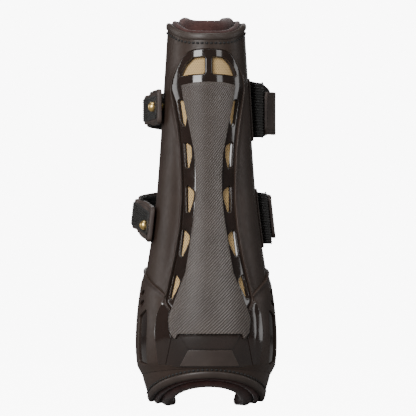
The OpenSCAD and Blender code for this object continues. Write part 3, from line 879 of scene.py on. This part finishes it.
def make_liner():
    """Padded liner: thin along the leg, with a stitched channel and a fat roll at each end."""
    angles = np.concatenate([[-WRAP], np.linspace(-WRAP + 0.6, -WRAP + 4.8, 7), np.linspace(-118, 118, 119),
                             np.linspace(WRAP - 4.8, WRAP - 0.6, 7), [WRAP]])
    near = 1 - np.cos(np.linspace(0, np.pi / 2, 9))
    share = np.concatenate([near * 5, np.linspace(6, 22, 13)])
    rings, places = [], []
    for a in angles:
        low, high = float(liner_foot(a)), float(liner_head(a))
        middle = np.linspace(low + 25, high - 25, 60)
        v = np.concatenate([low + share, middle, high - share[::-1]])
        edge = np.minimum(v - low, high - v)
        depth = 6 + 3 * smooth((17 - edge) / 8)
        depth -= 1.6 * np.exp(-((edge - 13.5) / 1.4) ** 2)
        half = depth / 2 * np.sqrt(np.clip(1 - np.clip(1 - edge / 4.5, 0, 1) ** 2, 0.0004, 1))
        side = np.clip(1 - (WRAP - abs(a)) / 4.6, 0, 1)
        half = half * max(np.sqrt(1 - side**2), 0.12)
        centre = LINER_OUT - depth / 2
        lumps = np.array([noise.noise(Vector((a * 0.09, y * 0.07, 3.0))) for y in v])
        inner = centre - half - 0.45 * lumps * (half > 2)
        v_loop = np.concatenate([v, v[::-1]])
        h_loop = np.concatenate([centre + half, inner[::-1]])
        rings.append(skin(a, v_loop, h_loop))
        places.append(np.stack([a * ARC + 0 * v_loop, v_loop], -1) * 0.1)
    liner = tube_solid("liner_padding", rings, places, 80)
    finish_piece(liner, "liner", "boot", ["liner"])


# ---- Stitch rows --------------------------------------------------------------------------


def make_boot_stitches():
    a = np.linspace(-112, 112, 300)
    rows = [skin_path(a, shell_head(a) - 6.9, 0.1), skin_path(a, shell_foot(a) + 5.7, 0.15)]
    for side in (-1, 1):
        z = np.linspace(26, 252, 240)
        rows.append(skin_path(side * (WRAP - 7.6), z, 0.1))
    thread = stitches("shell_stitches", rows, 3.2, 2.3, 1.7)
    finish_piece(thread, "thread", "boot")


# ---- Studs --------------------------------------------------------------------------------


def lathe(name, profile, centre, sides=48):
    """Turned piece along -X: profile is rows of (radius, distance out from the leg's axis)."""
    q = np.linspace(0, 2 * np.pi, sides, endpoint=False)
    points, faces = [], []
    for r, out in profile:
        ring = np.stack([np.full(sides, -out), centre[0] + r * np.cos(q), centre[1] + r * np.sin(q)], -1)
        points.append(ring)
    faces = grid_faces(len(profile), sides, close_columns=True)
    faces.append(tuple(range(sides)))
    faces.append(tuple((len(profile) - 1) * sides + k for k in reversed(range(sides))))
    return add_mesh(name, np.concatenate(points), faces, sharp=35)


def make_stud(which, strap):
    """Ball stud: a stem through the shell, a washer on it, a neck and the ball."""
    y, z = strap["stud"]
    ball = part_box(f"{which}_stud")
    r = (ball[1][2] - ball[0][2]) / 2 / MM
    centre_out = -ball[0][0] / MM - r
    shell = float(curve(HALF_WIDTH, z))
    turn = np.radians(np.linspace(-58, 88, 22))
    profile = [(0.4, shell - SHELL_T), (1.5, shell - SHELL_T), (1.5, shell - 0.2), (2.5, shell - 0.1),
               (2.6, shell + 0.25), (2.3, shell + 0.45), (1.5, shell + 0.55), (1.4, centre_out - 0.9 * r)]
    profile += [(r * math.cos(t), centre_out + r * math.sin(t)) for t in turn]
    stud = lathe(f"{which}_ball_stud", profile, (y + AXIS_Y, z))
    finish_piece(stud, "brass", "boot", [f"{which}_stud"])


# ---- Straps -------------------------------------------------------------------------------

RIBS = 20


def ribbed_section(low, high, thick):
    """Loop of (height, distance out) round an elastic with ribs on both faces."""
    share = np.linspace(0, 1, 6 * RIBS + 1)
    relief = 0.35 * np.cos(2 * np.pi * RIBS * share) - 0.35
    edge = np.clip(np.minimum(share, 1 - share) * 40, 0, 1)
    v = low + (high - low) * share
    outer = thick / 2 + (thick / 2 + relief) * np.sqrt(edge * (2 - edge))
    inner = thick / 2 - (thick / 2 + relief) * np.sqrt(edge * (2 - edge))
    return np.concatenate([v, v[::-1]]), np.concatenate([outer, inner[::-1]])


def elastic_reach(root, share):
    """Lower and upper edge of an elastic: as wide as its root at first, and a little wider at its end."""
    half, end_half = 10.5, 13
    near_root = np.clip(1 - share / 0.3, 0, 1)
    near_end = np.clip((share - 0.88) / 0.12, 0, 1)
    low = -half + (root[0] + half) * near_root
    high = half + (root[1] - half) * near_root
    return low + (-end_half - low) * near_end, high + (end_half - high) * near_end


def make_elastic(which, strap):
    ribbon, root = strap["ribbon"], strap["root"]
    rings, places = [], []
    for s in np.linspace(0.3, ribbon.bend - 1.2, 120):
        low, high = elastic_reach(root, s / ribbon.bend)
        v, h = ribbed_section(low, high, ELASTIC_T)
        rings.append(ribbon.at(s, v, h))
        places.append(np.stack([s + 0 * v, v], -1) * 0.1)
    run = tube_solid(f"{which}_elastic_band", rings, places, 70)
    finish_piece(run, "elastic", f"{which}_strap", [f"{which}_elastic"])


def make_fold(which, strap):
    """The elastic's sewn end and its half turn, up to the corner where the strap swings."""
    x, y, z = strap["fold"]
    r, root = strap["fold_r"], strap["root"]
    lean = strap["ribbon"].lean
    flat = skin(np.array([118, 114.5, 111]), z, 2.0 + ELASTIC_T)[:, :2]
    turn = np.radians(np.linspace(180, 356, 26))
    bend = np.stack([x + r * np.cos(turn), y + AXIS_Y + r * np.sin(turn)], -1)
    line = dense(np.concatenate([flat, bend]), 0.6, closed=False)
    along = np.gradient(line, axis=0)
    normal = np.stack([along[:, 1], -along[:, 0]], -1)
    normal /= np.linalg.norm(normal, axis=1)[:, None]
    steps = np.linalg.norm(np.diff(line, axis=0), axis=1)
    run = np.concatenate([[0], np.cumsum(steps)])
    shell_lean = float(curve(HALF_WIDTH, z - 19) - curve(HALF_WIDTH, z + 19)) / 38
    rings, places = [], []
    for k, p in enumerate(line):
        share = run[k] / run[-1]
        dome = 1.5 * math.sin(math.pi * smooth(share)) - 1.0
        v, h = ribbed_section(root[0] + 0.5, root[1] + dome, ELASTIC_T)
        tilt = shell_lean + (lean - shell_lean) * share
        px = p[0] + normal[k, 0] * h - tilt * v
        rings.append(np.stack([px, p[1] + normal[k, 1] * h, z + v], -1))
        places.append(np.stack([run[k] - run[-1] + 0 * v, v], -1) * 0.1)
    fold = tube_solid(f"{which}_elastic_loop", rings, places, 70)
    finish_piece(fold, "elastic", "boot", [f"{which}_elastic_fold"])


def make_patch(which, strap):
    z, root = strap["fold"][2], strap["root"]
    low, high = z + root[0] - 2, z + root[1] + 2
    edge = rounded(box_outline(84 * ARC, 117 * ARC, low, high), 3)
    patch = plate(f"{which}_anchor_leather", [dense(edge, 2)], 0.1, 1.2, 0.3, on_boot)
    finish_piece(patch, "strap", "boot", [f"{which}_anchor_patch"])
    inset = dense(rounded(box_outline(86 * ARC, 115 * ARC, low + 1.6, high - 1.6), 2), 0.8)
    thread = stitches(f"{which}_anchor_stitches", [skin_path(inset[:, 0] / ARC, inset[:, 1], 1.25)],
                      2.4, 1.7, 0.55)
    finish_piece(thread, "thread", "boot")


def make_panel(which, strap):
    ribbon = strap["ribbon"]
    start, end = 2.6, ribbon.bend - 14
    half = 15.0
    taper = np.array([(start, half), (ribbon.bend * 0.62, half), (end, 10.4)])
    s = np.linspace(start, end, 60)
    reach = np.interp(s, taper[:, 0], taper[:, 1])
    edge = np.concatenate([np.stack([s, -reach], -1), np.stack([s[::-1], reach[::-1]], -1)])
    edge = trim_corners(edge, 4.0)
    low = ELASTIC_T + 0.1

    def padding(u):
        """The leather stands off the elastic as it rounds the corner of the boot."""
        return 1.4 * np.sin(np.pi * np.clip((u - start) / 50, 0, 1)) ** 2

    panel = plate(f"{which}_strap_leather", [edge], low, low + PANEL_T, 0.6, ribbon.at, cell=2.0,
                  lift=lambda u, v: padding(u))
    finish_piece(panel, "strap", f"{which}_strap", [f"{which}_strap_panel"])
    out = low + PANEL_T + 0.05
    rows = []
    for side in (-1, 1):
        for inset in (1.8, 3.4):
            rows.append(ribbon.path(s[2:-3], side * (reach[2:-3] - inset), out + padding(s[2:-3])))
    for place in (start + 1.8, end - 1.8):
        v = np.linspace(-half + 3.6, half - 3.6, 40) * (1 if place < end - 10 else 0.6)
        rows.append(ribbon.path(place + 0 * v, v, out + padding(place)))
    thread = stitches(f"{which}_strap_stitches", rows, 2.3, 1.6, 0.55)
    finish_piece(thread, "thread", f"{which}_strap")


def trim_corners(edge, radius):
    """The same band outline with its four corners rounded."""
    s0, s1 = edge[:, 0].min(), edge[:, 0].max()
    out = edge.copy()
    for k, (s, v) in enumerate(edge):
        left = min(s - s0, s1 - s)
        if left < radius:
            out[k, 1] = np.sign(v) * (abs(v) - radius + math.sqrt(radius**2 - (radius - left) ** 2))
    return out


def make_webbing(which, start, end, slit, place):
    """End of the elastic, sewn on the tongue's outer face, with its lengthwise ribs."""
    edge = dense(rounded(box_outline(start, end, -8, 8), 4, 6), 1.0)

    def ribs(u, v):
        return 0.3 * np.cos(2 * np.pi * v / 1.4)

    webbing = plate(f"{which}_tongue_webbing", [edge, slit], TONGUE_T - 0.4, TONGUE_T + 0.9, 0.3, place, 0.3,
                    lift=ribs)
    return finish_piece(webbing, "elastic", None)


def make_tongue(which, strap):
    ribbon = strap["ribbon"]
    y, z = strap["stud"]
    start, end = ribbon.bend - 9, ribbon.length
    hook = np.argmin(np.abs(ribbon.route[ribbon.run > ribbon.bend][:, 1] - AXIS_Y - y))
    at = ribbon.run[ribbon.run > ribbon.bend][hook]
    up = z - float(ribbon.beyond(np.array([at]))[0, 2])
    neck = ribbon.bend + 3
    half_outline = [(start, 9.9), (neck, 10.2), (neck + 5.5, 12.2), (end, 12.2)]
    edge = dense(rounded([(s, -v) for s, v in half_outline] + half_outline[::-1], 5, 8), 1.5)
    turn = np.linspace(0, 2 * np.pi, 28, endpoint=False)
    hole = np.stack([at + 2.4 * np.cos(turn), up + 2.4 * np.sin(turn)], -1)
    slit = hole.copy()
    slit[np.abs(turn) < 0.2, 0] += 3.2

    def place(u, v, h):
        raised = (ELASTIC_T + 0.15) * (1 - smooth((u - ribbon.bend + 2) / 5))
        return ribbon.at(u, v, h + raised)

    leather = plate(f"{which}_tongue_leather", [edge, slit], 0, TONGUE_T, 0.9, place, cell=1.5)
    finish_piece(leather, "strap", None, [f"{which}_tongue"])
    near = ribbon.at(ribbon.bend - 2, 0, 0)
    far = ribbon.at(ribbon.bend + 3, 0, 0)
    inset = [(s + (1.8 if s == start else -1.8 * (s == end)), v - 1.7) for s, v in half_outline]
    inset = dense(rounded([(s, -v) for s, v in inset] + inset[::-1], 4, 6), 0.7)
    points = place(inset[:, 0], inset[:, 1], TONGUE_T + 0.05)
    thread = stitches(f"{which}_tongue_stitches", [(points, ribbon.normal(inset[:, 0]))], 2.3, 1.6, 0.55)
    finish_piece(thread, "thread", None)
    webbing = make_webbing(which, start + 1, at + 5.5, slit, place)
    for piece in (leather, thread, webbing):
        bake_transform(piece)


# ---- Studio -------------------------------------------------------------------------------


# Place, size and power of each soft box
SOFT_BOXES = {
    "left_box": ((-0.70, -1.16, 0.62), (0.65, 0.9), 21.5),
    "right_box": ((0.80, -1.10, 0.62), (0.42, 0.9), 3.6),
    "left_side_box": ((-1.5, 0.4, 0.4), (0.5, 1.0), 4.5),
    "right_side_box": ((1.5, 0.1, 0.4), (0.4, 1.0), 2.5),
    "top_box": ((0, -0.1, 1.6), (1.0, 1.0), 10),
    "front_box": ((0.2, 1.5, 0.6), (1.0, 0.8), 5),
}
BOXES_AIM = Vector((0, 0, 0.14))  # the middle of the boot
PAPER_LIGHT = 9.0  # what the camera sees of the paper
SURROUND_LIGHT = 0.10  # what the surround sheds on the boot


def add_light(name, place, size, power):
    """Soft box aimed at the middle of the boot."""
    data = bpy.data.lights.new(name, "AREA")
    data.shape = "RECTANGLE"
    data.size, data.size_y = size
    data.energy = power
    lamp = bpy.data.objects.new(name, data)
    lamp.location = place
    lamp.rotation_euler = (BOXES_AIM - Vector(place)).to_track_quat("-Z", "Y").to_euler()
    bpy.context.scene.collection.objects.link(lamp)


def paper_material():
    """Pale paper that looks evenly lit, whatever falls on it."""
    made, tree, shader = new_material("pale_paper", Roughness=0.9)
    tree.links.new(colour_between(tree, grain(tree, 400, 2), (0.24, 0.235, 0.23), (0.26, 0.255, 0.25)),
                   shader.inputs["Base Color"])
    shader.inputs["Emission Color"].default_value = (1, 1, 1, 1)
    seen = add_node(tree, "ShaderNodeLightPath").outputs["Is Camera Ray"]
    tree.links.new(math_node(tree, "MULTIPLY", seen, PAPER_LIGHT), shader.inputs["Emission Strength"])
    return made


def make_studio():
    """Pale floor in a pale surround, with soft boxes behind the boot, at its sides, above and in front."""
    points = [(x, y, 0.0) for y in (-40.0, 40.0) for x in (-40.0, 40.0)]
    floor = add_mesh("studio_floor", np.array(points) / MM, grid_faces(2, 2))
    floor.data.materials.append(paper_material())
    world = bpy.data.worlds.new("studio")
    world.use_nodes = True
    tree = world.node_tree
    surround = tree.nodes["Background"]
    surround.inputs["Color"].default_value = (1, 1, 1, 1)
    seen = add_node(tree, "ShaderNodeLightPath").outputs["Is Camera Ray"]
    strength = math_node(tree, "MULTIPLY_ADD", seen, PAPER_LIGHT - SURROUND_LIGHT, SURROUND_LIGHT)
    tree.links.new(strength, surround.inputs["Strength"])
    bpy.context.scene.world = world
    for name, (place, size, power) in SOFT_BOXES.items():
        add_light(name, place, size, power)


def make_camera():
    """Level view from the tendon side, from far off, turned a few degrees round the boot."""
    reach = 6.0
    turn = math.radians(-3.0)
    seen = 0.2896  # width of the view at the boot, in metres
    middle = Vector((0.0017, 0, 0.1375))
    data = bpy.data.cameras.new("camera")
    data.sensor_width = 36
    data.lens = 36 * reach / seen
    camera = bpy.data.objects.new("camera", data)
    camera.location = middle + reach * Vector((math.sin(turn), -math.cos(turn), 0.0))
    camera.rotation_euler = (math.radians(90), 0, turn)
    bpy.context.scene.collection.objects.link(camera)
    bpy.context.scene.camera = camera


make_shell()
make_frame()
make_strike_plate()
make_heel()
make_guard()
make_facets()
make_mesh()
make_bindings()
make_flanges()
make_liner()
make_boot_stitches()
for which, strap in STRAPS.items():
    make_stud(which, strap)
    make_patch(which, strap)
    make_fold(which, strap)
    make_elastic(which, strap)
    make_panel(which, strap)
    make_tongue(which, strap)
hidden = {"foam_core": "foam", "upper_stud_backplate": "brass", "lower_stud_backplate": "brass"}
for name, look in hidden.items():
    materials = frame["nodes"][name].data.materials
    materials.clear()
    materials.append(LOOKS[look])
make_studio()
make_camera()
